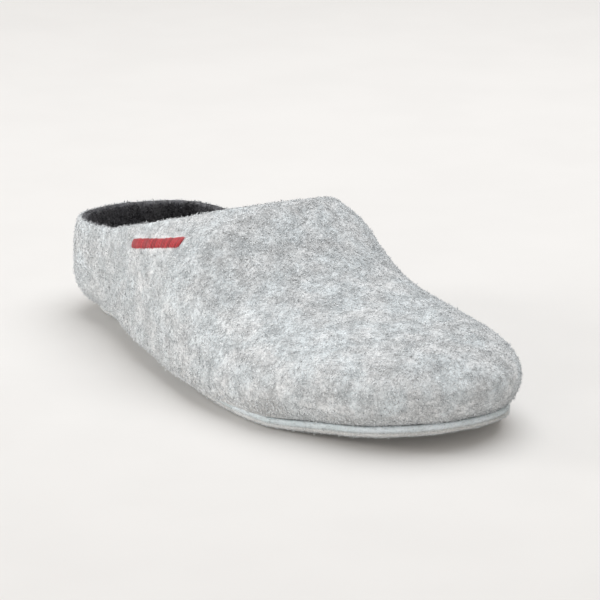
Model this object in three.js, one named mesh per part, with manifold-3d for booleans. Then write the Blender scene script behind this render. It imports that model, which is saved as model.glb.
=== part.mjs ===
// Felt house slipper for the right foot: an open-backed mule.
//
// A maker puts three pieces together:
//   upper   the felt body, moulded whole over a last: hollow, open at the collar and throat
//   sole    the suede sole, whose edge turns up round the foot of the felt in two soft bands
//   insole  the loose felt footbed that lies inside the body
//
// Millimetres. +X points to the toe, +Y to the inner (big toe) side, +Z up.
// The slipper stands on z = 0, and the origin is at the middle of its base.

import * as THREE from "three";
import { mergeVertices } from "three/addons/utils/BufferGeometryUtils.js";
import Module from "manifold-3d";

const wasm = await Module();
wasm.setup();

// Driving dimensions
const bodyLength = 275; // felt body, back of the heel to the tip of the toe
const heelWidth = 76.5; // the felt body at its widest, at the heel
const waistWidth = 106;
const ballWidth = 116;
const foreWidth = 95; // where the toes begin to round off
const throatHeight = 73; // floor to the highest point of the throat
const toeHeight = 42.5; // floor to the top of the toe box
const collarHeight = 43; // floor to the collar at the back of the heel
const collarLean = 2.5; // degrees that the collar's edge leans up to the outer side
const throatPlace = 132; // from the back of the heel to the throat's highest point
const feltWall = 4.5;
const soleThickness = 3.6; // under the foot
const soleLip = 7.4; // height of the sole's turned-up edge
const insoleThickness = 4;
const toeSpring = 7.2; // lift of the sole's toe end
const archLift = 0.8; // lift of the sole under the waist
const heelSpring = 1.4; // lift of the sole's heel end
const heelRound = 30; // length over which the outline closes at the heel
const toeRound = 58; // and at the toe
const heelDome = 38; // from the heel's back to where its wall curves aim
const toeDome = 45; // from the toe's tip to where its wall curves aim
const soleSeat = 6.5; // from the sole's edge inwards to where the felt lies flat on it
const ridgeShift = 11.5; // the crown's ridge lies this far to the inner side
const fitGap = 0.3; // clearance between neighbouring pieces

// The outline of the felt body where it is widest, seen from above.
// along: share of the length; width: of the body there; inner: share of the width on the inner side.
const outlineRows = [
  { along: 0.0, width: heelWidth, inner: 0.47 },
  { along: 0.14, width: heelWidth, inner: 0.455 },
  { along: 0.38, width: waistWidth, inner: 0.495 },
  { along: 0.6, width: ballWidth, inner: 0.48 },
  { along: 0.73, width: ballWidth * 0.97, inner: 0.495 },
  { along: 0.86, width: foreWidth, inner: 0.545 },
  { along: 1.0, width: foreWidth, inner: 0.6 },
];
const heelSquareness = 2.2; // 2 is an ellipse, more is squarer
const toeSquareness = 2.1;

// How far the sole's edge lies inside that outline, the share of the sole's lip that stands there,
// how high above the sole the felt is widest, and how square the lower and upper halves of its
// sections are.
const sideRows = [
  { along: 0.0, inset: 11, lip: 0.85, widest: 17, lower: 1.95, upper: 2.7 },
  { along: 0.14, inset: 11.5, lip: 0.8, widest: 15.5, lower: 1.95, upper: 2.7 },
  { along: 0.34, inset: 10.5, lip: 0.62, widest: 10, lower: 2.3, upper: 3.1 },
  { along: 0.5, inset: 9, lip: 0.58, widest: 7, lower: 2.8, upper: 2.6 },
  { along: 0.62, inset: 7, lip: 0.64, widest: 7, lower: 2.8, upper: 2.3 },
  { along: 0.74, inset: 4.2, lip: 0.85, widest: 9.5, lower: 2.2, upper: 2.4 },
  { along: 0.86, inset: 4.5, lip: 1, widest: 13, lower: 1.95, upper: 2.55 },
  { along: 1.0, inset: 5, lip: 1, widest: 13.5, lower: 1.95, upper: 2.2 },
];

// The crown's ridge from the throat forward: place between throat (0) and toe (1),
// fall from the throat's height (0) to the toe box's (1), and share of the shift inwards.
const ridgeRows = [
  { forward: -1.0, fall: -0.1, shift: 0.2 },
  { forward: -0.4, fall: -0.08, shift: 0.6 },
  { forward: 0.0, fall: 0.0, shift: 1.0 },
  { forward: 0.12, fall: 0.36, shift: 1.15 },
  { forward: 0.27, fall: 0.73, shift: 1.3 },
  { forward: 0.5, fall: 0.95, shift: 1.4 },
  { forward: 1.0, fall: 1.1, shift: 1.45 },
];

// The collar's edge, seen from the side: place between heel (0) and throat (1),
// and rise from the height at the heel (0) to the throat's (1).
const collarRows = [
  { forward: 0.0, rise: 0.0 },
  { forward: 0.3, rise: 0.06 },
  { forward: 0.64, rise: 0.44 },
  { forward: 1.0, rise: 1.0 },
];

// The lift of the whole foot line above the floor.
const liftRows = [
  { along: 0.0, lift: heelSpring },
  { along: 0.1, lift: 0 },
  { along: 0.24, lift: 0 },
  { along: 0.42, lift: archLift },
  { along: 0.58, lift: 0 },
  { along: 0.72, lift: 0 },
  { along: 0.86, lift: toeSpring * 0.35 },
  { along: 1.0, lift: toeSpring },
];

// The sole's side from the floor up, in two soft bands with a crease between them.
// out: outwards from the sole's edge, in mm; up: share of the lip's height.
const soleEdgeRows = [
  { out: -3.4, up: 0.0 },
  { out: -1.3, up: 0.1 },
  { out: -0.2, up: 0.3 },
  { out: -0.6, up: 0.46 },
  { out: 0.1, up: 0.6 },
  { out: 0.0, up: 0.85 },
  { out: -0.9, up: 1.0 },
];

const stations = 36; // from heel to toe
const lowerLevels = 5; // from the sole to the widest line
const upperLevels = 13; // from the widest line to the ridge
const collarSteps = 28;

// A smooth curve through one column of a table, with no overshoot between its rows.
function curve(rows, at, column) {
  const x = rows.map((row) => row[at]);
  const y = rows.map((row) => row[column]);
  const slope = [];
  for (let i = 0; i + 1 < x.length; i += 1) {
    slope.push((y[i + 1] - y[i]) / (x[i + 1] - x[i]));
  }
  const tangent = x.map((_, i) => {
    const before = slope[i - 1];
    const after = slope[i];
    if (before === undefined) return after;
    if (after === undefined) return before;
    return before * after <= 0 ? 0 : (2 * before * after) / (before + after);
  });
  return (place) => {
    const clamped = THREE.MathUtils.clamp(place, x[0], x[x.length - 1]);
    let i = 0;
    while (i < x.length - 2 && clamped > x[i + 1]) i += 1;
    const span = x[i + 1] - x[i];
    const t = (clamped - x[i]) / span;
    const fromStart = (1 + 2 * t) * (1 - t) ** 2 * y[i] + t * (1 - t) ** 2 * span * tangent[i];
    const fromEnd = t * t * (3 - 2 * t) * y[i + 1] - t * t * (1 - t) * span * tangent[i + 1];
    return fromStart + fromEnd;
  };
}

const widthAt = curve(outlineRows, "along", "width");
const innerShareAt = curve(outlineRows, "along", "inner");
const insetAt = curve(sideRows, "along", "inset");
const lipAt = curve(sideRows, "along", "lip");
const widestAt = curve(sideRows, "along", "widest");
const lowerPowerAt = curve(sideRows, "along", "lower");
const upperPowerAt = curve(sideRows, "along", "upper");
const liftAt = curve(liftRows, "along", "lift");
const fallAt = curve(ridgeRows, "forward", "fall");
const shiftAt = curve(ridgeRows, "forward", "shift");
const riseAt = curve(collarRows, "forward", "rise");

// 1 along the middle, rounding off to 0 over the last stretch.
function roundOff(distance, stretch, power) {
  const t = THREE.MathUtils.clamp(1 - distance / stretch, 0, 1);
  return (1 - t ** power) ** (1 / power);
}

// A point on a quarter of a rounded corner: 0 is on its side, 1 is on its top.
function corner(turn, power) {
  const angle = (turn * Math.PI) / 2;
  const reach = (Math.cos(angle) ** power + Math.sin(angle) ** power) ** (-1 / power);
  return { side: reach * Math.cos(angle), top: reach * Math.sin(angle) };
}

// The widest outline as one loop: along the outer side to the toe and back along the inner side.
function outlineLoop() {
  const outer = [];
  const inner = [];
  for (let i = 0; i <= stations; i += 1) {
    const x = (bodyLength * (1 - Math.cos((Math.PI * i) / stations))) / 2;
    const along = x / bodyLength;
    const closing =
      roundOff(x, heelRound, heelSquareness) * roundOff(bodyLength - x, toeRound, toeSquareness);
    const half = (widthAt(along) * closing) / 2;
    const middle = widthAt(along) * (innerShareAt(along) - 0.5);
    outer.push({ x, y: middle - half, along });
    inner.push({ x, y: middle + half, along });
  }
  return [...outer, ...inner.slice(1, stations).reverse()];
}

// The loop's own direction out of the outline at each point.
function outwardOf(loop) {
  return loop.map((_, i) => {
    const before = loop[(i + loop.length - 1) % loop.length];
    const after = loop[(i + 1) % loop.length];
    return new THREE.Vector2(after.y - before.y, before.x - after.x).normalize();
  });
}

const loop = outlineLoop();
const outward = outwardOf(loop);

// A place between the heel (-1), the throat (0) and the tip of the toe (1).
function forwardOf(x) {
  const ahead = x - throatPlace;
  return ahead < 0 ? ahead / throatPlace : ahead / (bodyLength - throatPlace);
}

// The height of the crown above the floor.
function crownHeight(x) {
  return throatHeight - (throatHeight - toeHeight) * fallAt(forwardOf(x));
}

// The ridge point that the wall curve of a loop point aims at.
function ridgePoint(along) {
  const x = heelDome + (bodyLength - heelDome - toeDome) * along;
  const share = x / bodyLength;
  const middle = widthAt(share) * (innerShareAt(share) - 0.5);
  return new THREE.Vector2(x, middle + ridgeShift * shiftAt(forwardOf(x)));
}

// One level of the body: a ring of points, one for each loop point.
function lowerRing(turn, extra) {
  return loop.map((point, i) => {
    const tuck = insetAt(point.along) + soleSeat;
    const base = soleThickness + liftAt(point.along);
    const { side, top } = corner(1 - turn, lowerPowerAt(point.along));
    const inwards = tuck * (1 - side) + extra;
    return new THREE.Vector3(
      point.x - outward[i].x * inwards,
      point.y - outward[i].y * inwards,
      base + widestAt(point.along) * (1 - top),
    );
  });
}

function upperRing(turn) {
  return loop.map((point) => {
    const ridge = ridgePoint(point.along);
    const { side, top } = corner(turn, upperPowerAt(point.along));
    const widest = soleThickness + liftAt(point.along) + widestAt(point.along);
    const x = ridge.x + (point.x - ridge.x) * side;
    const y = ridge.y + (point.y - ridge.y) * side;
    return new THREE.Vector3(x, y, widest + (crownHeight(x) - widest) * top);
  });
}

// A closed geometry from a stack of rings, lowest first. The lowest and the highest ring are
// closed by strips across from the outer side to the inner.
function stack(rings) {
  const count = rings[0].length;
  const positions = rings.flat().flatMap((p) => [p.x, p.y, p.z]);
  const index = [];
  for (let level = 0; level + 1 < rings.length; level += 1) {
    for (let i = 0; i < count; i += 1) {
      const next = (i + 1) % count;
      const a = level * count + i;
      const b = level * count + next;
      index.push(a, b, b + count, a, b + count, a + count);
    }
  }
  const top = (rings.length - 1) * count;
  for (let i = 0; i < stations; i += 1) {
    const facing = (count - i) % count;
    const facingNext = count - i - 1;
    for (const [base, turned] of [
      [0, true],
      [top, false],
    ]) {
      const quad = [base + i, base + i + 1, base + facingNext, base + facing];
      if (turned) quad.reverse();
      index.push(quad[0], quad[1], quad[2], quad[0], quad[2], quad[3]);
    }
  }
  const geometry = new THREE.BufferGeometry();
  geometry.setAttribute("position", new THREE.Float32BufferAttribute(positions, 3));
  geometry.setIndex(index);
  return mergeVertices(geometry, 1e-4);
}

function solidFrom(geometry) {
  const merged = mergeVertices(geometry, 1e-4);
  return new wasm.Manifold(
    new wasm.Mesh({
      numProp: 3,
      vertProperties: new Float32Array(merged.attributes.position.array),
      triVerts: new Uint32Array(merged.index.array),
    }),
  );
}

function geometryFrom(solid) {
  const mesh = solid.getMesh();
  const geometry = new THREE.BufferGeometry();
  geometry.setAttribute("position", new THREE.BufferAttribute(mesh.vertProperties, 3));
  geometry.setIndex(new THREE.BufferAttribute(mesh.triVerts, 1));
  return geometry;
}

// The whole form of the foot, closed on top, grown or shrunk square to its surface.
function footForm(grow) {
  const flatMargin = 3;
  const rings = [lowerRing(0, flatMargin)];
  for (let level = 0; level < lowerLevels; level += 1) {
    rings.push(lowerRing(level / lowerLevels, 0));
  }
  for (let level = 0; level <= upperLevels; level += 1) {
    rings.push(upperRing(level / upperLevels));
  }
  const geometry = stack(rings);
  geometry.computeVertexNormals();
  const { position, normal } = geometry.attributes;
  for (let i = 0; i < position.count; i += 1) {
    position.setXYZ(
      i,
      position.getX(i) + normal.getX(i) * grow,
      position.getY(i) + normal.getY(i) * grow,
      position.getZ(i) + normal.getZ(i) * grow,
    );
  }
  geometry.deleteAttribute("normal");
  return solidFrom(geometry);
}

// The space above the collar's edge, as a block that reaches past both sides.
function collarCut() {
  const beyond = 30;
  const depth = ballWidth * 2;
  const side = new THREE.Shape();
  const heightAt = (forward) => collarHeight + (throatHeight - collarHeight) * riseAt(forward);
  const lastStep = 1 - 1 / collarSteps;
  const endSlope = (heightAt(1) - heightAt(lastStep)) / (throatPlace / collarSteps);
  side.moveTo(-beyond, collarHeight);
  for (let step = 0; step <= collarSteps; step += 1) {
    const forward = step / collarSteps;
    side.lineTo(throatPlace * forward, heightAt(forward));
  }
  side.lineTo(throatPlace + beyond, heightAt(1) + endSlope * beyond);
  side.lineTo(throatPlace + beyond, throatHeight * 2);
  side.lineTo(-beyond, throatHeight * 2);
  side.closePath();
  const geometry = new THREE.ExtrudeGeometry(side, { depth, bevelEnabled: false, steps: 1 });
  geometry.deleteAttribute("normal");
  geometry.deleteAttribute("uv");
  geometry.translate(0, 0, -depth / 2);
  geometry.rotateX(Math.PI / 2 - THREE.MathUtils.degToRad(collarLean));
  return solidFrom(geometry);
}

// A level of the sole: its edge moved outwards, at a height above the foot line.
function soleRing(out, heightAt) {
  return loop.map((point, i) => {
    const inwards = insetAt(point.along) - out;
    return new THREE.Vector3(
      point.x - outward[i].x * inwards,
      point.y - outward[i].y * inwards,
      liftAt(point.along) + heightAt(point.along),
    );
  });
}

function upperSolid() {
  return footForm(0).subtract(footForm(-feltWall)).subtract(collarCut());
}

function soleSolid() {
  const rings = soleEdgeRows.map(({ out, up }) =>
    soleRing(out, (along) => up * soleLip * lipAt(along)),
  );
  return solidFrom(stack(rings)).subtract(footForm(fitGap));
}

function insoleSolid() {
  const slabTop = soleThickness + feltWall + fitGap + insoleThickness;
  const slab = solidFrom(stack([soleRing(0, () => 0), soleRing(feltWall, () => slabTop)]));
  return slab.intersect(footForm(-feltWall - fitGap));
}

const slipper = new THREE.Group();

function addPiece(name, solid, material) {
  const piece = new THREE.Mesh(geometryFrom(solid), new THREE.MeshStandardMaterial(material));
  piece.name = name;
  slipper.add(piece);
}

addPiece("upper", upperSolid(), { color: 0xbfc1c2, roughness: 0.95, metalness: 0 });
addPiece("sole", soleSolid(), { color: 0xcfd8da, roughness: 0.85, metalness: 0 });
addPiece("insole", insoleSolid(), { color: 0x37373b, roughness: 0.95, metalness: 0 });

// The origin goes to the middle of the base.
const bounds = new THREE.Box3().setFromObject(slipper);
const middle = bounds.getCenter(new THREE.Vector3());
slipper.position.set(-middle.x, -middle.y, 0);

export default slipper;
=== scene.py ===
"""Felt house slipper for the right foot: the looks of its felt body, suede sole and felt insole."""

import math

import bpy
import numpy as np
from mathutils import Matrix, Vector, noise
from mathutils.bvhtree import BVHTree


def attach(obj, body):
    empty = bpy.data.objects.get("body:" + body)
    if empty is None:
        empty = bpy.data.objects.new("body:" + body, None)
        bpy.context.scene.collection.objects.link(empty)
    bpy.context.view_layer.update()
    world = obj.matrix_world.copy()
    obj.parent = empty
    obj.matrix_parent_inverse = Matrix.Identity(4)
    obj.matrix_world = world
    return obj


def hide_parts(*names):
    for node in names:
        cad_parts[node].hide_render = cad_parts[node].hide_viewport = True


MM = 0.001
TINY = 1e-12
MERGE_WITHIN = 0.01 * MM

# The camera in the part's frame: its place, what it looks at, its lens and sensor in mm
CAMERA_PLACE = Vector((1.1610, -0.7270, 0.4504))
CAMERA_AIM = Vector((0.004, 0.009, 0.030))
LENS = 196.0
SENSOR = 36.0
SIGHT = 20

# The felt body
FELT_CELL = 1.27 * MM
FELT_SMOOTHING = 20
LIGHT_LAYER = 0.28  # share of the wall's thickness that is light felt, the rest is charcoal
LAYER_BLEND = 0.06
FELT_WAVES = ((0.30, 17, 1), (0.11, 4.2, 2), (0.07, 1.9, 3))  # height and size in mm, seed

# The felt's foot, close to the sole, is painted a little darker and warmer, a painted reflection of the
# warm floor: it fades from this height up, in mm, over this range
FLOOR_REFLECTION_FROM = 5
FLOOR_REFLECTION_RANGE = 16

# The collar's cut rim: how far it leans, and how its faces are told from the rest
COLLAR_LEAN = math.tan(math.radians(2.5))
RIM_LEAN_SLACK = 0.004
RIM_LEAST_UP = 0.3
RIM_MOST_FORWARD = 0.02

# The line inside the foot space, in mm, that the felt's inner faces look at
HEART_FROM = -96
HEART_TO = 88
HEART_SIDE = 6
HEART_HEIGHT = 26

# Soft troughs (minus) and ridges (plus) of the moulded felt: middle, half lengths and rise in mm
CREASES = [
    {"at": (36, -8, 52), "turn": 74, "long": 30, "wide": 9, "rise": -0.55},
    {"at": (52, -4, 47), "turn": 78, "long": 34, "wide": 11, "rise": 0.35},
    {"at": (84, 10, 44), "turn": 68, "long": 22, "wide": 12, "rise": -0.35},
    {"at": (-20, -50, 34), "turn": 12, "long": 26, "wide": 9, "rise": -0.45},
    {"at": (-72, -42, 26), "turn": -6, "long": 24, "wide": 8, "rise": -0.4},
    {"at": (-132, 0, 30), "turn": 90, "long": 22, "wide": 9, "rise": -0.35},
    {"at": (-30, 52, 32), "turn": -10, "long": 28, "wide": 9, "rise": -0.4},
]
CREASE_REACH = 1.2
CREASE_FADE = 2.0

# The suede sole's side from the floor up. out: outwards from its widest edge in mm; up: share of its height
EDGE_ROWS = [
    {"out": -4.6, "up": 0.0},
    {"out": -3.1, "up": 0.008},
    {"out": -1.9, "up": 0.05},
    {"out": -0.9, "up": 0.13},
    {"out": -0.25, "up": 0.24},
    {"out": -0.1, "up": 0.34},
    {"out": -0.25, "up": 0.41},
    {"out": -0.55, "up": 0.455},
    {"out": -0.58, "up": 0.485},
    {"out": -0.25, "up": 0.53},
    {"out": 0.0, "up": 0.61},
    {"out": 0.1, "up": 0.72},
    {"out": 0.0, "up": 0.84},
    {"out": -0.35, "up": 0.94},
    {"out": -0.95, "up": 0.985},
]
SOLE_STATIONS = 440
SOLE_RAYS = 1440
SOLE_RAY_HEIGHTS_MM = (3.0, 5.0, 6.5, 8.0, 10.5)
SOLE_WAVES = ((0.16, 9, 4), (0.10, 2.2, 5))
OUTLINE_ROUNDS = 40
LIFT_INSET_MM = 6
LIP_INSET_MM = 1.1
LEAST_LIP_MM = 5
USUAL_LIP_TOP = 10 * MM
USUAL_SOLE_TOP = 4 * MM
LIP_ROUNDS = 40
SHELF_ROUNDS = 4
UNDERSIDE_INSET_MM = 9
SHELF_INSETS_MM = (1.6, 2.6, 4.0, 6.0, 9.0, 13.0)
MIDDLE_SHARES = (0.72, 0.5, 0.28, 0.08)

# Where rays start and how far they reach, well clear of the slipper
RAY_REACH = 0.4
RAY_FROM_BELOW = -0.05
RAY_FROM_ABOVE = 0.3

# The felt insole, with the hollows that heel and ball have trodden
INSOLE_CELL = 1.5 * MM
INSOLE_SMOOTHING = 8
INSOLE_WAVES = ((0.12, 8, 6), (0.06, 2.5, 7))
TREADS = [
    {"at": (-92, -2, 12), "half": (30, 24, 60)},
    {"at": (38, 0, 12), "half": (44, 38, 60)},
]
TREAD_DEPTH = 0.7

# The red stitched bar on the outer side of the heel, in mm
BAR_START = Vector((-50.5, -60, 50.8))
BAR_END = Vector((-14.5, -60, 59.4))
BAR_HEIGHT = 4.8
BAR_THREADS = 36
BAR_SEED = 11
BAR_END_MARGIN = 1.2
BAR_SIDE_MARGIN = 0.9
STITCH_LENGTHS = (0.9, 1.06)
THREAD_WIDTH = 1.0
THREAD_WIDTHS = (0.9, 1.1)
THREAD_SLANT = 0.4
THREAD_STEPS = 7
THREAD_SIDES = 6
THREAD_END_WIDTH = 0.35
THREAD_SWELL = 0.4
THREAD_ARCH = 0.5
THREAD_ARCH_POWER = 0.6
THREAD_SINK = 0.18
THREAD_END_SINK = 0.3
THREAD_RAY_FROM = -0.08

# Loose fibres. Lengths and widths are in mm. lift is their mean rise off the surface in radians.
# tone is the middle and the spread of their place between the material's dark and pale.
OUTER_FIBRES = {
    "count": 38000,
    "length_mm": (0.7, 2.2),
    "width_mm": (0.05, 0.12),
    "lift": 0.26,
    "tone": (0.64, 0.2),
}
FOOT_FIBRES = {
    "count": 5000,
    "length_mm": (0.9, 2.4),
    "width_mm": (0.05, 0.12),
    "lift": 0.3,
    "tone": (0.62, 0.22),
}
LINING_FIBRES = {
    "count": 20000,
    "length_mm": (0.7, 1.8),
    "width_mm": (0.07, 0.15),
    "lift": 0.3,
    "tone": (0.34, 0.3),
}
NAP_FIBRES = {
    "count": 16000,
    "length_mm": (0.4, 1.2),
    "width_mm": (0.05, 0.11),
    "lift": 0.5,
    "tone": (0.6, 0.25),
}
FRAY_FIBRES = {
    "count": 9000,
    "length_mm": (0.5, 1.4),
    "width_mm": (0.05, 0.11),
    "lift": 0.35,
    "tone": (0.75, 0.22),
}

# Where fibres grow, in mm along the slipper and above the floor
WAIST_FROM = -45
TOE_FROM = 35
OUTER_ABOVE = 7
FOOT_ABOVE = 7.5
FOOT_BELOW = 15
FOOT_FROM = 10
LINING_ABOVE = 24
LINING_TO = 10
STEEPEST_SOLE_SIDE = 0.8
FRAY_TILTS = (-0.93, -0.25)

# How a fibre rises and bends, as shares of its length, and how deep it is rooted in mm
LIFT_SHAPE = 1.6
LIFT_LIMITS = (0.02, 1.2)
SIDE_BEND = 0.16
UP_BEND = (0.02, 0.12)
ROOT_DEPTH_MM = 0.12
SLIVER_FLATNESS = 0.4
SLIVER_ARCH = 0.5
LOWEST_FIBRE = 0.02 * MM

# Sizes of the felt's heather in mm, and where single strands wander through it
HEATHER = {"size_mm": 8.0, "detail": 5.0, "roughness": 0.82}
FINE_CLUMPS = {"size_mm": 1.9, "detail": 3.0, "roughness": 0.75, "offset": 0.17}
SPECKS = {"size_mm": 0.7, "detail": 2.0, "roughness": 0.8, "offset": 0.53}
HUE_DRIFT = {"size_mm": 16, "detail": 3.0, "roughness": 0.6, "offset": 0.31}
PALE_STRANDS = {"size_mm": 2.6, "offset": 0.83}
DARK_STRANDS = {"size_mm": 3.1, "offset": 0.41}
STRAND_RELIEF_WIDTH = 0.05

PALE_FELT = {
    "pale": (0.93, 0.935, 0.94),
    "dark": (0.42, 0.425, 0.43),
    "cool": (0.93, 0.99, 1.02),
    "warm": (0.985, 0.99, 0.995),
    "light_fibre": (0.92, 0.94, 0.95),
    "dark_fibre": (0.27, 0.285, 0.30),
}
CHARCOAL_FELT = {
    "pale": (0.15, 0.15, 0.16),
    "dark": (0.016, 0.016, 0.019),
    "cool": (0.97, 0.98, 1.03),
    "warm": (1.02, 1.0, 0.98),
    "light_fibre": (0.36, 0.36, 0.38),
    "dark_fibre": (0.008, 0.008, 0.010),
}
# Painted warm reflection of the floor, which also makes the felt near the sole a little darker
PAINTED_FLOOR_REFLECTION = (0.62, 0.585, 0.54)
SUEDE = {
    "lower": ((0.60, 0.595, 0.575), (0.70, 0.69, 0.67)),
    "upper": ((0.66, 0.74, 0.76), (0.80, 0.86, 0.90)),
    # Painted shade in the groove along the sole's side
    "groove_shade": (0.26, 0.28, 0.29),
    # Painted shade in the crevice where the felt meets the sole's top
    "top_edge_shade": (0.30, 0.36, 0.38),
    "pale_nap": (0.86, 0.89, 0.90),
    "dark_nap": (0.38, 0.41, 0.43),
    "brushed": (0.84, 0.88, 0.90),
}
THREAD = {
    "dark": (0.27, 0.004, 0.012),
    "bright": (0.66, 0.03, 0.042),
    "shade": (0.24, 0.004, 0.01),
    "worn": (0.62, 0.12, 0.13),
}
FLOOR_TONES = ((0.785, 0.77, 0.755), (0.80, 0.785, 0.77))
FELT_FIBRE = {"dark": (0.50, 0.52, 0.535), "pale": (0.94, 0.965, 0.98)}
CHARCOAL_FIBRE = {"dark": (0.015, 0.015, 0.018), "pale": (0.38, 0.38, 0.41)}
SUEDE_FIBRE = {"dark": (0.52, 0.55, 0.56), "pale": (0.90, 0.93, 0.94)}

# The studio, in metres and watts
FLOOR_SIZE = 12
FLOOR_DROP = 0.1 * MM
LIGHTS = [
    {
        "name": "overhead",
        "place": (-0.15, 0.35, 1.3),
        "aim": (0, 0, 0),
        "size": 1.7,
        "power": 17,
        "colour": (0.965, 0.985, 1.0),
    },
    {
        "name": "left",
        "place": (-1.2, -1.4, 0.36),
        "aim": (0, 0, 0),
        "size": 0.6,
        "power": 14,
        "colour": (1.0, 0.99, 0.975),
    },
    {
        "name": "front",
        "place": (0.8, -1.6, 0.22),
        "aim": (0, 0, 0.02),
        "size": 0.4,
        "power": 6.5,
        "colour": (1.0, 0.99, 0.975),
    },
]
SKY_COLOUR = (1.0, 0.965, 0.925, 1)
SKY_STRENGTH = 0.44

# A step in and a step out of each round of smoothing, so that nothing shrinks
STEP_IN = 0.5
MESH_STEP_OUT = 0.52
LINE_STEP_OUT = 0.51
RING_ROUNDS = 12

# How far noise is moved by an offset or a seed along each axis
OFFSET_WAY = (1.0, 0.7, 1.3)
SEED_WAY = (3.1, 1.7, 2.3)

# Sockets of a colour mix node
MIX_FACTOR = 0
MIX_FIRST = 6
MIX_SECOND = 7
MIX_RESULT = 2


# Meshes


def deselect():
    if bpy.context.mode != "OBJECT":
        bpy.ops.object.mode_set(mode="OBJECT")
    bpy.ops.object.select_all(action="DESELECT")


def make_active(piece):
    deselect()
    piece.select_set(True)
    bpy.context.view_layer.objects.active = piece


def even_cells(piece, size):
    """Rebuilds a mesh from cells of one size."""
    make_active(piece)
    modifier = piece.modifiers.new("even_cells", "REMESH")
    modifier.mode = "VOXEL"
    modifier.voxel_size = size
    modifier.adaptivity = 0.0
    bpy.ops.object.modifier_apply(modifier=modifier.name)


def edit_whole(piece, operation, **settings):
    """Runs one edit-mode operation on a whole mesh."""
    make_active(piece)
    bpy.ops.object.mode_set(mode="EDIT")
    bpy.ops.mesh.select_all(action="SELECT")
    operation(**settings)
    bpy.ops.object.mode_set(mode="OBJECT")


def add_piece(name, data):
    piece = bpy.data.objects.new(name, data)
    bpy.context.scene.collection.objects.link(piece)
    return piece


def mesh_piece(name, verts, faces):
    data = bpy.data.meshes.new(name)
    data.from_pydata([tuple(v) for v in verts], [], [tuple(f) for f in faces])
    data.update()
    piece = add_piece(name, data)
    edit_whole(piece, bpy.ops.mesh.normals_make_consistent, inside=False)
    return piece


def copy_of_node(node, name):
    """A copy of a CAD node as a merged mesh of its own."""
    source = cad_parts[node]
    piece = add_piece(name, source.data.copy())
    piece.data.transform(source.matrix_world)
    piece.data.materials.clear()
    edit_whole(piece, bpy.ops.mesh.remove_doubles, threshold=MERGE_WITHIN)
    return piece


def tube_faces(first, rings, count):
    """The faces of a tube of rings that is closed at both ends; first is its first vertex."""
    faces = []
    for ring in range(rings - 1):
        low = first + ring * count
        for i in range(count):
            j = (i + 1) % count
            faces.append((low + i, low + j, low + count + j, low + count + i))
    last = first + (rings - 1) * count
    faces.append(tuple(reversed(range(first, first + count))))
    faces.append(tuple(range(last, last + count)))
    return faces


def coordinates(piece):
    co = np.empty(len(piece.data.vertices) * 3, np.float64)
    piece.data.vertices.foreach_get("co", co)
    return co.reshape(-1, 3)


def normals(piece):
    values = np.empty(len(piece.data.vertices) * 3, np.float64)
    piece.data.vertices.foreach_get("normal", values)
    return values.reshape(-1, 3)


def set_coordinates(piece, co):
    piece.data.vertices.foreach_set("co", co.astype(np.float32).ravel())
    piece.data.update()


def even_out(piece, rounds):
    """Smooths a mesh without shrinking it: one step in, one slightly longer step out."""
    co = coordinates(piece)
    edges = np.empty(len(piece.data.edges) * 2, np.int64)
    piece.data.edges.foreach_get("vertices", edges)
    a, b = edges.reshape(-1, 2).T
    count = np.bincount(a, minlength=len(co)) + np.bincount(b, minlength=len(co))
    count = np.maximum(count, 1)[:, None]
    for step in (STEP_IN, -MESH_STEP_OUT) * rounds:
        total = np.zeros_like(co)
        for axis in range(3):
            from_a = np.bincount(a, co[b, axis], len(co))
            from_b = np.bincount(b, co[a, axis], len(co))
            total[:, axis] = from_a + from_b
        co = co + step * (total / count - co)
    set_coordinates(piece, co)


def smooth_shading(piece):
    piece.data.polygons.foreach_set("use_smooth", [True] * len(piece.data.polygons))


def add_attribute(piece, name, values):
    attribute = piece.data.attributes.new(name, "FLOAT", "POINT")
    attribute.data.foreach_set("value", np.asarray(values, np.float32))


def hill(distance):
    """1 at the middle, falling softly to 0 at a distance of 1."""
    return np.clip(1 - distance**2, 0, 1) ** 2


def uneven(co, size_mm, seed):
    """Soft noise from -1 to 1 at each point."""
    scale = 1 / (size_mm * MM)
    shift = Vector([seed * step for step in SEED_WAY])
    return np.array([noise.noise(Vector(p) * scale + shift) for p in co])


def unevenness(co, waves):
    """The rise in mm at each point from soft waves, each of a height, a size and a seed."""
    return sum(height * uneven(co, size_mm, seed) for height, size_mm, seed in waves)


def finish_piece(piece, material, slot, *nodes):
    piece.data.materials.clear()
    piece.data.materials.append(material)
    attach(piece, "root")
    if nodes:
        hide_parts(*nodes)


# Materials


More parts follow.
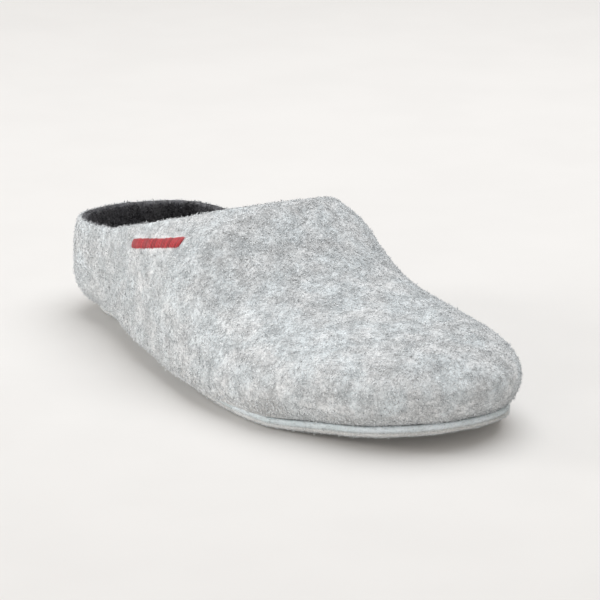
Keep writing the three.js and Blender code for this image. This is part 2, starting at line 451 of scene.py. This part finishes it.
class Nodes:
    """Short ways to lay out the nodes of one material."""

    def __init__(self, name, roughness, specular=0.5, sheen=0.0, sheen_roughness=0.5):
        self.material = bpy.data.materials.new(name)
        self.material.use_nodes = True
        self.tree = self.material.node_tree
        self.shader = self.tree.nodes["Principled BSDF"]
        self.shader.inputs["Roughness"].default_value = roughness
        self.shader.inputs["Specular IOR Level"].default_value = specular
        self.shader.inputs["Sheen Weight"].default_value = sheen
        self.shader.inputs["Sheen Roughness"].default_value = sheen_roughness
        self.place = self.tree.nodes.new("ShaderNodeTexCoord").outputs["Object"]

    def link(self, source, target):
        self.tree.links.new(source, target)

    def finish(self, colour, normal=None):
        self.link(colour, self.shader.inputs["Base Color"])
        if normal is not None:
            self.link(normal, self.shader.inputs["Normal"])
        return self.material

    def attribute(self, name):
        node = self.tree.nodes.new("ShaderNodeAttribute")
        node.attribute_name = name
        return node.outputs["Fac"]

    def grain(self, size_mm, detail=2.0, roughness=0.5, distortion=0.0, offset=0.0, stretch=None):
        """Noise whose clumps are about size_mm across."""
        place = self.place
        if offset or stretch:
            mapping = self.tree.nodes.new("ShaderNodeMapping")
            mapping.inputs["Location"].default_value = [offset * part for part in OFFSET_WAY]
            if stretch:
                mapping.inputs["Scale"].default_value = stretch
            self.link(place, mapping.inputs["Vector"])
            place = mapping.outputs["Vector"]
        node = self.tree.nodes.new("ShaderNodeTexNoise")
        node.inputs["Scale"].default_value = 1 / (size_mm * MM)
        node.inputs["Detail"].default_value = detail
        node.inputs["Roughness"].default_value = roughness
        node.inputs["Distortion"].default_value = distortion
        self.link(place, node.inputs["Vector"])
        return node.outputs["Fac"]

    def spread(self, value, low, high, to_low=0.0, to_high=1.0):
        """Stretches low..high of a value to to_low..to_high, softly at both ends."""
        node = self.tree.nodes.new("ShaderNodeMapRange")
        node.interpolation_type = "SMOOTHSTEP"
        node.inputs["From Min"].default_value = low
        node.inputs["From Max"].default_value = high
        node.inputs["To Min"].default_value = to_low
        node.inputs["To Max"].default_value = to_high
        self.link(value, node.inputs["Value"])
        return node.outputs["Result"]

    def fibres(self, size_mm, offset, width):
        """Thin wandering lines: 1 on a fibre, 0 beside it."""
        wander = self.grain(size_mm, detail=3.0, roughness=0.65, distortion=1.6, offset=offset)
        away = self.maths("ABSOLUTE", self.maths("SUBTRACT", wander, 0.5))
        return self.spread(away, low=0.0, high=width, to_low=1.0, to_high=0.0)

    def maths(self, operation, first, second=None):
        node = self.tree.nodes.new("ShaderNodeMath")
        node.operation = operation
        for socket, value in zip(node.inputs, (first, second)):
            if value is None:
                continue
            if isinstance(value, (int, float)):
                socket.default_value = value
            else:
                self.link(value, socket)
        return node.outputs["Value"]

    def blend(self, factor, first, second, kind="MIX"):
        node = self.tree.nodes.new("ShaderNodeMix")
        node.data_type = "RGBA"
        node.blend_type = kind
        node.clamp_factor = True
        for socket, value in ((MIX_FACTOR, factor), (MIX_FIRST, first), (MIX_SECOND, second)):
            if isinstance(value, tuple):
                node.inputs[socket].default_value = (*value, 1)
            elif isinstance(value, (int, float)):
                node.inputs[socket].default_value = value
            else:
                self.link(value, node.inputs[socket])
        return node.outputs[MIX_RESULT]

    def relief(self, height, depth_mm, under=None, strength=1.0):
        node = self.tree.nodes.new("ShaderNodeBump")
        node.inputs["Distance"].default_value = depth_mm * MM
        node.inputs["Strength"].default_value = strength
        self.link(height, node.inputs["Height"])
        if under is not None:
            self.link(under, node.inputs["Normal"])
        return node.outputs["Normal"]


def felt_colour(nodes, pale, dark, cool, warm, light_fibre, dark_fibre):
    """Heathered wool: clumps of every size, a drift of hue, and single fibres over them."""
    heather = nodes.grain(**HEATHER)
    fine = nodes.grain(**FINE_CLUMPS)
    speck = nodes.grain(**SPECKS)
    drift = nodes.grain(**HUE_DRIFT)
    colour = nodes.blend(nodes.spread(heather, low=0.37, high=0.63), dark, pale)
    hue = nodes.blend(nodes.spread(drift, low=0.38, high=0.62), cool, warm)
    colour = nodes.blend(1.0, colour, hue, "MULTIPLY")
    light_clumps = nodes.spread(fine, low=0.50, high=0.70, to_high=0.45)
    colour = nodes.blend(light_clumps, colour, light_fibre)
    dark_specks = nodes.spread(speck, low=0.48, high=0.26, to_high=0.38)
    colour = nodes.blend(dark_specks, colour, dark_fibre)
    pale_strands = nodes.maths("MULTIPLY", nodes.fibres(**PALE_STRANDS, width=0.03), 0.5)
    dark_strands = nodes.maths("MULTIPLY", nodes.fibres(**DARK_STRANDS, width=0.025), 0.45)
    colour = nodes.blend(pale_strands, colour, light_fibre)
    colour = nodes.blend(dark_strands, colour, dark_fibre)
    return colour, fine, speck, heather


def felt_relief(nodes, fine, speck, heather):
    lumps = nodes.relief(heather, depth_mm=1.2, strength=0.6)
    clumps = nodes.relief(fine, depth_mm=0.4, under=lumps, strength=0.8)
    pale_hairs = nodes.fibres(**PALE_STRANDS, width=STRAND_RELIEF_WIDTH)
    dark_hairs = nodes.fibres(**DARK_STRANDS, width=STRAND_RELIEF_WIDTH)
    hairs = nodes.maths("MAXIMUM", pale_hairs, dark_hairs)
    strands = nodes.relief(hairs, depth_mm=0.12, under=clumps, strength=0.6)
    return nodes.relief(speck, depth_mm=0.2, under=strands, strength=0.7)


def make_upper_felt():
    """Pale heathered felt outside, charcoal felt inside, met by fibres across the rim."""
    nodes = Nodes("heathered_felt", 0.93, specular=0.2, sheen=0.12, sheen_roughness=0.6)
    outside, fine, speck, heather = felt_colour(nodes, **PALE_FELT)
    inside, _, _, _ = felt_colour(nodes, **CHARCOAL_FELT)
    ragged = nodes.maths("MULTIPLY", nodes.maths("SUBTRACT", fine, 0.5), 0.9)
    depth = nodes.maths("ADD", nodes.attribute("depth"), ragged)
    side = nodes.spread(depth, LIGHT_LAYER - LAYER_BLEND, LIGHT_LAYER + LAYER_BLEND)
    # Close to the floor the felt is painted a little darker and warmer: a painted reflection of the warm
    # floor
    foot = nodes.spread(nodes.attribute("foot"), low=0.0, high=1.0, to_high=0.30)
    outside = nodes.blend(foot, outside, PAINTED_FLOOR_REFLECTION)
    colour = nodes.blend(side, outside, inside)
    return nodes.finish(colour, felt_relief(nodes, fine, speck, heather))


def make_charcoal_felt():
    nodes = Nodes("charcoal_felt", 0.95, specular=0.2, sheen=0.2, sheen_roughness=0.6)
    colour, fine, speck, heather = felt_colour(nodes, **CHARCOAL_FELT)
    return nodes.finish(colour, felt_relief(nodes, fine, speck, heather))


def make_suede():
    """Pale blue-grey suede: a whitish upper band, a greyer lower band and a short nap."""
    nodes = Nodes("pale_suede", 0.9, specular=0.25, sheen=0.3, sheen_roughness=0.5)
    nap = nodes.grain(0.9, detail=4.0, roughness=0.7)
    brushed = nodes.grain(4.0, detail=3.0, roughness=0.6, offset=0.37, stretch=(0.25, 0.25, 2.2))
    patch = nodes.spread(nodes.grain(14, detail=2.0, offset=0.71), low=0.35, high=0.65)
    up = nodes.attribute("up")
    lower = nodes.blend(patch, *SUEDE["lower"])
    upper = nodes.blend(patch, *SUEDE["upper"])
    rough_up = nodes.maths("ADD", up, nodes.maths("MULTIPLY", nap, 0.3))
    colour = nodes.blend(nodes.spread(rough_up, low=0.52, high=0.76), lower, upper)
    # Painted shade darkens the groove along the sole's side
    from_groove = nodes.maths("ABSOLUTE", nodes.maths("SUBTRACT", up, 0.47))
    groove_shade = nodes.spread(from_groove, low=0.0, high=0.05, to_low=0.16, to_high=0.0)
    colour = nodes.blend(groove_shade, colour, SUEDE["groove_shade"])
    # Painted shade darkens the sole's top edge, in the crevice under the felt
    top_edge_shade = nodes.spread(up, low=0.88, high=1.0, to_high=0.6)
    colour = nodes.blend(top_edge_shade, colour, SUEDE["top_edge_shade"])
    pale_nap = nodes.spread(nap, low=0.48, high=0.72, to_high=0.45)
    colour = nodes.blend(pale_nap, colour, SUEDE["pale_nap"])
    dark_nap = nodes.spread(nap, low=0.50, high=0.30, to_high=0.45)
    colour = nodes.blend(dark_nap, colour, SUEDE["dark_nap"])
    streaks = nodes.spread(brushed, low=0.45, high=0.62, to_high=0.25)
    colour = nodes.blend(streaks, colour, SUEDE["brushed"])
    soft = nodes.relief(brushed, depth_mm=0.25, strength=0.5)
    return nodes.finish(colour, nodes.relief(nap, depth_mm=0.22, under=soft, strength=0.8))


def make_fibre(name, dark, pale):
    """Loose fibres, each of its own tone between a dark and a pale one."""
    nodes = Nodes(name, 0.85, specular=0.25)
    colour = nodes.blend(nodes.attribute("tone"), dark, pale)
    sheen = nodes.grain(3.0, detail=1.0)
    return nodes.finish(colour, nodes.relief(sheen, depth_mm=0.02, strength=0.2))


def make_thread():
    """Red embroidery thread with its twist."""
    nodes = Nodes("red_thread", 0.55, sheen=0.3)
    twist = nodes.grain(0.35, detail=2.0, offset=0.2)
    worn = nodes.grain(2.2, detail=2.0, offset=0.6)
    colour = nodes.blend(nodes.attribute("tone"), THREAD["dark"], THREAD["bright"])
    shade = nodes.spread(twist, low=0.35, high=0.65, to_low=0.45, to_high=0.0)
    colour = nodes.blend(shade, colour, THREAD["shade"])
    rubbed = nodes.spread(worn, low=0.5, high=0.75, to_high=0.25)
    colour = nodes.blend(rubbed, colour, THREAD["worn"])
    return nodes.finish(colour, nodes.relief(twist, depth_mm=0.06, strength=0.8))


# The felt body


def is_rim(face):
    """The collar's cut faces look up and back, and lean to the inner side by the collar's lean."""
    lean = COLLAR_LEAN * face.normal.z
    along_cut = abs(face.normal.y - lean) < RIM_LEAN_SLACK
    return along_cut and face.normal.z > RIM_LEAST_UP and face.normal.x < RIM_MOST_FORWARD


def heart_of(point):
    """The middle of the foot space nearest to a point along the slipper."""
    x = min(max(point.x, HEART_FROM * MM), HEART_TO * MM)
    return Vector((x, HEART_SIDE * MM, HEART_HEIGHT * MM))


def wall_sides(piece):
    """Search trees of the outside and of the inside of the wall, without the cut rim."""
    outside = []
    inside = []
    for face in piece.data.polygons:
        if is_rim(face):
            continue
        looks_out = face.normal.dot(face.center - heart_of(face.center)) > 0
        (outside if looks_out else inside).append(list(face.vertices))
    co = [v.co.copy() for v in piece.data.vertices]
    return BVHTree.FromPolygons(co, outside), BVHTree.FromPolygons(co, inside)


def wall_depths(co, outside, inside):
    """How deep in the wall each point lies: 0 on the outside, 1 on the inside."""
    depth = np.empty(len(co))
    for i, point in enumerate(co):
        to_outside = outside.find_nearest(Vector(point))[3]
        to_inside = inside.find_nearest(Vector(point))[3]
        depth[i] = to_outside / max(to_outside + to_inside, TINY)
    return depth


def crease_rise(co):
    """How far the listed creases lift each point, in mm."""
    rise = np.zeros(len(co))
    for crease in CREASES:
        away = (co - np.array(crease["at"]) * MM) / MM
        turn = math.radians(crease["turn"])
        line = np.array((math.cos(turn), math.sin(turn), 0))
        along = away @ line
        across = np.linalg.norm(away - along[:, None] * line, axis=1)
        rise += crease["rise"] * hill(along / crease["long"]) * hill(across / crease["wide"])
    return rise


def make_upper():
    piece = copy_of_node("upper", "felt_upper")
    outside, inside = wall_sides(piece)
    even_cells(piece, FELT_CELL)
    even_out(piece, FELT_SMOOTHING)
    co = coordinates(piece)
    out = normals(piece)
    depth = wall_depths(co, outside, inside)
    skin = np.clip(CREASE_REACH - CREASE_FADE * depth, 0, 1)
    rise = crease_rise(co) * skin + unevenness(co, FELT_WAVES)
    set_coordinates(piece, co + out * rise[:, None] * MM)
    add_attribute(piece, "depth", depth)
    # How close to the floor each point lies, for the painted floor reflection
    above_foot = co[:, 2] / MM - FLOOR_REFLECTION_FROM
    add_attribute(piece, "foot", np.clip(1 - above_foot / FLOOR_REFLECTION_RANGE, 0, 1))
    smooth_shading(piece)
    return piece, depth


# The suede sole


def resample(line, count):
    """A closed line in plan with its points evenly spaced."""
    closed = np.vstack([line, line[:1]])
    steps = np.linalg.norm(np.diff(closed, axis=0), axis=1)
    run = np.concatenate([[0], np.cumsum(steps)])
    at = np.linspace(0, run[-1], count, endpoint=False)
    return np.stack([np.interp(at, run, closed[:, axis]) for axis in range(2)], 1)


def round_line(line, rounds):
    """Takes the flats out of a closed line without shrinking it."""
    for step in (STEP_IN, -LINE_STEP_OUT) * rounds:
        middle = (np.roll(line, 1, 0) + np.roll(line, -1, 0)) / 2
        line = line + step * (middle - line)
    return line


def smooth_ring(values, rounds=RING_ROUNDS):
    for _ in range(rounds):
        values = (np.roll(values, 1) + 2 * values + np.roll(values, -1)) / 4
    return values


def sole_outline(tree):
    """The sole's widest outline in plan, felt out by rays from outside."""
    points = []
    for i in range(SOLE_RAYS):
        angle = 2 * math.pi * i / SOLE_RAYS
        way = Vector((math.cos(angle), math.sin(angle), 0))
        best = 0
        for height in SOLE_RAY_HEIGHTS_MM:
            start = way * RAY_REACH + Vector((0, 0, height * MM))
            hit = tree.ray_cast(start, -way, RAY_REACH)[0]
            if hit is not None:
                best = max(best, hit.to_2d().length)
        points.append((best * way.x, best * way.y))
    return round_line(resample(np.array(points), SOLE_STATIONS), OUTLINE_ROUNDS)


def heights(tree, plan, start_height, missing):
    """The surface's height over each point in plan, seen from a height above or below it."""
    way = Vector((0, 0, 1 if start_height < 0 else -1))
    hits = [tree.ray_cast(Vector((x, y, start_height)), way)[0] for x, y in plan]
    return np.array([missing if hit is None else hit.z for hit in hits])


def sole_rings(tree):
    """Rings from the middle of the underside, up the edge and back over the top, with their up."""
    outline = sole_outline(tree)
    along = np.roll(outline, -1, 0) - np.roll(outline, 1, 0)
    outward = np.stack([along[:, 1], -along[:, 0]], 1)
    outward /= np.linalg.norm(outward, axis=1)[:, None]

    def moved(out_mm):
        return outline + outward * out_mm * MM

    def underside(plan):
        return heights(tree, plan, RAY_FROM_BELOW, 0.0)

    def top(plan):
        return heights(tree, plan, RAY_FROM_ABOVE, USUAL_SOLE_TOP)

    lift = smooth_ring(underside(moved(-LIFT_INSET_MM)))
    lip_top = heights(tree, moved(-LIP_INSET_MM), RAY_FROM_ABOVE, USUAL_LIP_TOP)
    lip = smooth_ring(np.maximum(lip_top - lift, LEAST_LIP_MM * MM), LIP_ROUNDS)
    under_plans = [outline * share for share in reversed(MIDDLE_SHARES)]
    under_plans.append(moved(-UNDERSIDE_INSET_MM))
    rings = [(plan, underside(plan), 0.0) for plan in under_plans]
    rings += [(moved(row["out"]), lift + row["up"] * lip, row["up"]) for row in EDGE_ROWS]
    for inset in SHELF_INSETS_MM:
        plan = moved(-inset)
        shelf = smooth_ring(np.minimum(top(plan), lift + lip), SHELF_ROUNDS)
        rings.append((plan, shelf, 1.0))
    for share in MIDDLE_SHARES:
        rings.append((outline * share, top(outline * share), 1.0))
    return rings


def make_sole():
    source = copy_of_node("sole", "sole_source")
    corners = [v.co.copy() for v in source.data.vertices]
    tree = BVHTree.FromPolygons(corners, [list(p.vertices) for p in source.data.polygons])
    rings = sole_rings(tree)
    bpy.data.objects.remove(source)
    verts = np.vstack([np.column_stack([plan, height]) for plan, height, _ in rings])
    piece = mesh_piece("suede_sole", verts, tube_faces(0, len(rings), SOLE_STATIONS))
    up = np.repeat([share for _, _, share in rings], SOLE_STATIONS)
    co = coordinates(piece)
    out = normals(piece)
    side = (up > 0.0) & (up < 1.0)
    wave = unevenness(co, SOLE_WAVES)
    co[side] += out[side] * wave[side, None] * MM
    set_coordinates(piece, co)
    add_attribute(piece, "up", up)
    smooth_shading(piece)
    return piece


# The felt insole


def tread(co, at, half):
    """1 in the middle of a trodden hollow, 0 at its edge."""
    return hill(np.linalg.norm((co - np.array(at) * MM) / MM / half, axis=1))


def make_insole():
    piece = copy_of_node("insole", "felt_insole")
    even_cells(piece, INSOLE_CELL)
    even_out(piece, INSOLE_SMOOTHING)
    co = coordinates(piece)
    out = normals(piece)
    top = np.clip(out[:, 2], 0, 1)
    trodden = sum(tread(co, **spot) for spot in TREADS)
    rise = -TREAD_DEPTH * trodden * top + unevenness(co, INSOLE_WAVES)
    set_coordinates(piece, co + out * rise[:, None] * MM)
    smooth_shading(piece)
    return piece


# Loose fibres


def slivers(name, roots, ways, lengths, widths, bends, tones):
    """Thin pointed fibres, each a bent closed sliver of four faces, all in one mesh."""
    side = np.cross(ways, bends)
    side /= np.linalg.norm(side, axis=1)[:, None] + TINY
    over = np.cross(side, ways)
    middle = roots + ways * lengths[:, None] * 0.5 + bends
    half = widths[:, None] / 2
    left = middle + side * half - over * half * SLIVER_FLATNESS
    right = middle - side * half + over * half * SLIVER_FLATNESS
    tip = roots + ways * lengths[:, None]
    verts = np.stack([roots, left, right, tip], 1).reshape(-1, 3)
    arch = over * half * SLIVER_ARCH
    verts[0::4] -= arch
    verts[3::4] -= arch
    verts[:, 2] = np.maximum(verts[:, 2], LOWEST_FIBRE)
    base = (np.arange(len(roots)) * 4)[:, None, None]
    pattern = np.array([(0, 1, 2), (3, 2, 1), (0, 3, 1), (0, 2, 3)])
    faces = (base + pattern[None]).reshape(-1, 3)
    data = bpy.data.meshes.new(name)
    data.vertices.add(len(verts))
    data.vertices.foreach_set("co", verts.astype(np.float32).ravel())
    data.loops.add(faces.size)
    data.loops.foreach_set("vertex_index", faces.ravel().astype(np.int32))
    data.polygons.add(len(faces))
    data.polygons.foreach_set("loop_start", np.arange(0, faces.size, 3, dtype=np.int32))
    data.polygons.foreach_set("use_smooth", [True] * len(faces))
    data.update(calc_edges=True)
    piece = add_piece(name, data)
    add_attribute(piece, "tone", np.repeat(tones, 4))
    return piece


def triangles_of(piece):
    piece.data.calc_loop_triangles()
    corners = np.empty(len(piece.data.loop_triangles) * 3, np.int64)
    piece.data.loop_triangles.foreach_get("vertices", corners)
    return corners.reshape(-1, 3)


def scatter(piece, chosen, count, rng):
    """Points spread evenly over the chosen triangles, with the normal at each."""
    co = coordinates(piece)
    out = normals(piece)
    corners = triangles_of(piece)
    corners = corners[chosen(co, out, corners)]
    a, b, c = (co[corners[:, k]] for k in range(3))
    area = np.linalg.norm(np.cross(b - a, c - a), axis=1)
    pick = rng.choice(len(corners), count, p=area / area.sum())
    u, v = rng.random((2, count))
    flip = u + v > 1
    u[flip], v[flip] = 1 - u[flip], 1 - v[flip]
    weights = np.stack([1 - u - v, u, v], 1)[:, :, None]
    at = (np.stack([a[pick], b[pick], c[pick]], 1) * weights).sum(1)
    normal = (out[corners[pick]] * weights).sum(1)
    normal /= np.linalg.norm(normal, axis=1)[:, None]
    return at, normal


def fuzz(name, piece, chosen, seed, count, length_mm, width_mm, lift, tone):
    """Short loose fibres over part of a piece."""
    rng = np.random.default_rng(seed)
    at, normal = scatter(piece, chosen, count, rng)
    any_way = rng.normal(size=(count, 3))
    flat = any_way - (any_way * normal).sum(1)[:, None] * normal
    flat /= np.linalg.norm(flat, axis=1)[:, None]
    rise = np.clip(rng.gamma(LIFT_SHAPE, lift / LIFT_SHAPE, count), *LIFT_LIMITS)[:, None]
    ways = flat * np.cos(rise) + normal * np.sin(rise)
    lengths = rng.uniform(*length_mm, count) * MM
    widths = rng.uniform(*width_mm, count) * MM
    across = np.cross(normal, flat)
    bends = across * rng.normal(0, SIDE_BEND, count)[:, None] * lengths[:, None]
    bends += normal * rng.uniform(*UP_BEND, count)[:, None] * lengths[:, None]
    roots = at - normal * ROOT_DEPTH_MM * MM
    tones = np.clip(rng.normal(*tone, count), 0, 1)
    return slivers(name, roots, ways, lengths, widths, bends, tones)


def off_the_bar(at):
    """False close to the stitched bar, so that no loose felt fibre crosses it."""
    line = np.array(BAR_END - BAR_START)
    away = at / MM - np.array(BAR_START)
    away[:, 1] = 0
    length = np.linalg.norm(line)
    along = away @ line / length
    across = np.abs(away[:, 2] * line[0] - away[:, 0] * line[2]) / length
    near = (along > -BAR_END_MARGIN) & (along < length + BAR_END_MARGIN)
    near &= across < BAR_HEIGHT / 2 + BAR_SIDE_MARGIN
    return ~near | (at[:, 1] > 0)


def on_outside(depth, from_x, to_x):
    """The felt's light outside, between two places along the slipper in mm."""

    def chosen(co, out, corners):
        middle = co[corners].mean(1)
        outer = depth[corners].mean(1) < LIGHT_LAYER
        off_floor = middle[:, 2] > OUTER_ABOVE * MM
        inside_span = (middle[:, 0] > from_x * MM) & (middle[:, 0] < to_x * MM)
        return outer & off_floor & inside_span & off_the_bar(middle)

    return chosen


def on_foot(depth):
    """The felt close above the sole, whose fibres hang over the sole's edge."""

    def chosen(co, out, corners):
        middle = co[corners].mean(1)
        outer = depth[corners].mean(1) < LIGHT_LAYER
        low = (middle[:, 2] > FOOT_ABOVE * MM) & (middle[:, 2] < FOOT_BELOW * MM)
        return outer & low & (middle[:, 0] > FOOT_FROM * MM)

    return chosen


def on_lining(depth):
    """The charcoal inside of the heel and waist, which the collar leaves open to view."""

    def chosen(co, out, corners):
        middle = co[corners].mean(1)
        inner = depth[corners].mean(1) > LIGHT_LAYER
        return inner & (middle[:, 2] > LINING_ABOVE * MM) & (middle[:, 0] < LINING_TO * MM)

    return chosen


def on_sole_side(co, out, corners):
    return np.abs(out[corners].mean(1)[:, 2]) < STEEPEST_SOLE_SIDE


def on_sole_edge(co, out, corners):
    """The sole's lower edge, where the cut suede frays."""
    tilt = out[corners].mean(1)[:, 2]
    lowest, highest = FRAY_TILTS
    return (tilt > lowest) & (tilt < highest)


# The red stitched bar


def thread_rings(path, width):
    """The rings of a round thread along a path, pointed where it enters the felt."""
    rings = []
    for k, point in enumerate(path):
        way = (path[min(k + 1, len(path) - 1)] - path[max(k - 1, 0)]).normalized()
        side = way.cross(Vector((0, 1, 0))).normalized()
        over = side.cross(way)
        share = k / (len(path) - 1)
        swell = math.sin(math.pi * share) ** THREAD_SWELL
        radius = width / 2 * (THREAD_END_WIDTH + (1 - THREAD_END_WIDTH) * swell)
        ring = []
        for s in range(THREAD_SIDES):
            angle = 2 * math.pi * s / THREAD_SIDES
            ring.append(point + (side * math.cos(angle) + over * math.sin(angle)) * radius)
        rings.append(ring)
    return rings


def proud_of_felt(rise):
    """How far a stitch stands off the felt in mm; rise runs from -0.5 to 0.5 along it."""
    if abs(rise) < 0.5:
        return THREAD_ARCH * math.cos(math.pi * rise) ** THREAD_ARCH_POWER - THREAD_SINK
    return -THREAD_END_SINK


def stitch_path(tree, foot, way, up, tall):
    """The points of one slanted stitch, laid on the felt that the tree holds."""
    path = []
    for k in range(THREAD_STEPS):
        rise = k / (THREAD_STEPS - 1) - 0.5
        spot = foot + up * tall * rise + way * THREAD_SLANT * rise
        start = Vector((spot.x * MM, THREAD_RAY_FROM, spot.z * MM))
        hit, normal, _, _ = tree.ray_cast(start, Vector((0, 1, 0)))
        path.append(hit + normal * (proud_of_felt(rise) * MM))
    return path


def make_stitched_bar(felt):
    """Slanted satin stitches side by side, laid on the felt."""
    tree = BVHTree.FromObject(felt, bpy.context.evaluated_depsgraph_get())
    rng = np.random.default_rng(BAR_SEED)
    verts = []
    faces = []
    tones = []
    line = BAR_END - BAR_START
    way = line.normalized()
    up = Vector((-line.z, 0, line.x)).normalized()
    for t in range(BAR_THREADS):
        foot = BAR_START + line * ((t + 0.5) / BAR_THREADS)
        tall = BAR_HEIGHT * rng.uniform(*STITCH_LENGTHS)
        tone = rng.uniform(0.0, 1.0)
        path = stitch_path(tree, foot, way, up, tall)
        faces += tube_faces(len(verts), THREAD_STEPS, THREAD_SIDES)
        for ring in thread_rings(path, THREAD_WIDTH * rng.uniform(*THREAD_WIDTHS) * MM):
            verts += ring
            tones += [tone] * THREAD_SIDES
    piece = mesh_piece("stitched_bar", verts, faces)
    add_attribute(piece, "tone", tones)
    smooth_shading(piece)
    return piece


# The studio


def make_floor():
    deselect()
    bpy.ops.mesh.primitive_plane_add(size=FLOOR_SIZE, location=(0, 0, -FLOOR_DROP))
    floor = bpy.context.active_object
    floor.name = "floor"
    nodes = Nodes("pale_floor", 0.7, specular=0.15)
    dust = nodes.spread(nodes.grain(60, detail=2.0), low=0.3, high=0.7)
    floor.data.materials.append(nodes.finish(nodes.blend(dust, *FLOOR_TONES)))


def area_light(name, place, aim, size, power, colour):
    data = bpy.data.lights.new(name, "AREA")
    data.shape = "DISK"
    data.size = size
    data.energy = power
    data.color = colour
    lamp = bpy.data.objects.new(name, data)
    bpy.context.scene.collection.objects.link(lamp)
    lamp.location = place
    lamp.rotation_euler = (Vector(aim) - Vector(place)).to_track_quat("-Z", "Y").to_euler()


def make_studio():
    make_floor()
    for light in LIGHTS:
        area_light(**light)
    world = bpy.data.worlds.new("studio")
    bpy.context.scene.world = world
    world.use_nodes = True
    sky = world.node_tree.nodes["Background"]
    sky.inputs["Color"].default_value = SKY_COLOUR
    sky.inputs["Strength"].default_value = SKY_STRENGTH
    bpy.context.scene.view_settings.view_transform = "Standard"


def make_camera():
    data = bpy.data.cameras.new("camera")
    data.lens = LENS
    data.sensor_width = SENSOR
    data.clip_end = SIGHT
    camera = bpy.data.objects.new("camera", data)
    bpy.context.scene.collection.objects.link(camera)
    camera.location = CAMERA_PLACE
    camera.rotation_euler = (CAMERA_AIM - CAMERA_PLACE).to_track_quat("-Z", "Y").to_euler()
    bpy.context.scene.camera = camera


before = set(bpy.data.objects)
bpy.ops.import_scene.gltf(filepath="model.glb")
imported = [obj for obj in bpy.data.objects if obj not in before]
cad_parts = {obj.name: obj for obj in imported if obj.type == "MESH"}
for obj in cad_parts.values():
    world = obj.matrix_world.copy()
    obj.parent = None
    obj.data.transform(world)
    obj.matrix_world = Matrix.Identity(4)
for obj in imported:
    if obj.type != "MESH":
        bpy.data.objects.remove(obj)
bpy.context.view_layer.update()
deselect()
make_camera()
make_studio()

upper, wall_depth = make_upper()
finish_piece(upper, make_upper_felt(), "felt", "upper")

sole = make_sole()
finish_piece(sole, make_suede(), "suede", "sole")

insole = make_insole()
finish_piece(insole, make_charcoal_felt(), "insole_felt", "insole")

felt_fibre = make_fibre("felt_fibre", **FELT_FIBRE)
charcoal_fibre = make_fibre("charcoal_fibre", **CHARCOAL_FIBRE)
suede_fibre = make_fibre("suede_fibre", **SUEDE_FIBRE)
for fuzz_name, low, high, fuzz_seed in (
    ("heel_fuzz", -math.inf, WAIST_FROM, 21),
    ("waist_fuzz", WAIST_FROM, TOE_FROM, 22),
    ("toe_fuzz", TOE_FROM, math.inf, 25),
):
    part_of_felt = on_outside(wall_depth, low, high)
    hairs = fuzz(fuzz_name, upper, part_of_felt, fuzz_seed, **OUTER_FIBRES)
    finish_piece(hairs, felt_fibre, "felt")
hairs = fuzz("foot_fuzz", upper, on_foot(wall_depth), 26, **FOOT_FIBRES)
finish_piece(hairs, felt_fibre, "felt")
hairs = fuzz("lining_fuzz", upper, on_lining(wall_depth), 23, **LINING_FIBRES)
finish_piece(hairs, charcoal_fibre, "felt")
hairs = fuzz("suede_nap", sole, on_sole_side, 24, **NAP_FIBRES)
finish_piece(hairs, suede_fibre, "suede")
hairs = fuzz("suede_fray", sole, on_sole_edge, 27, **FRAY_FIBRES)
finish_piece(hairs, suede_fibre, "suede")

bar = make_stitched_bar(upper)
finish_piece(bar, make_thread(), "felt")
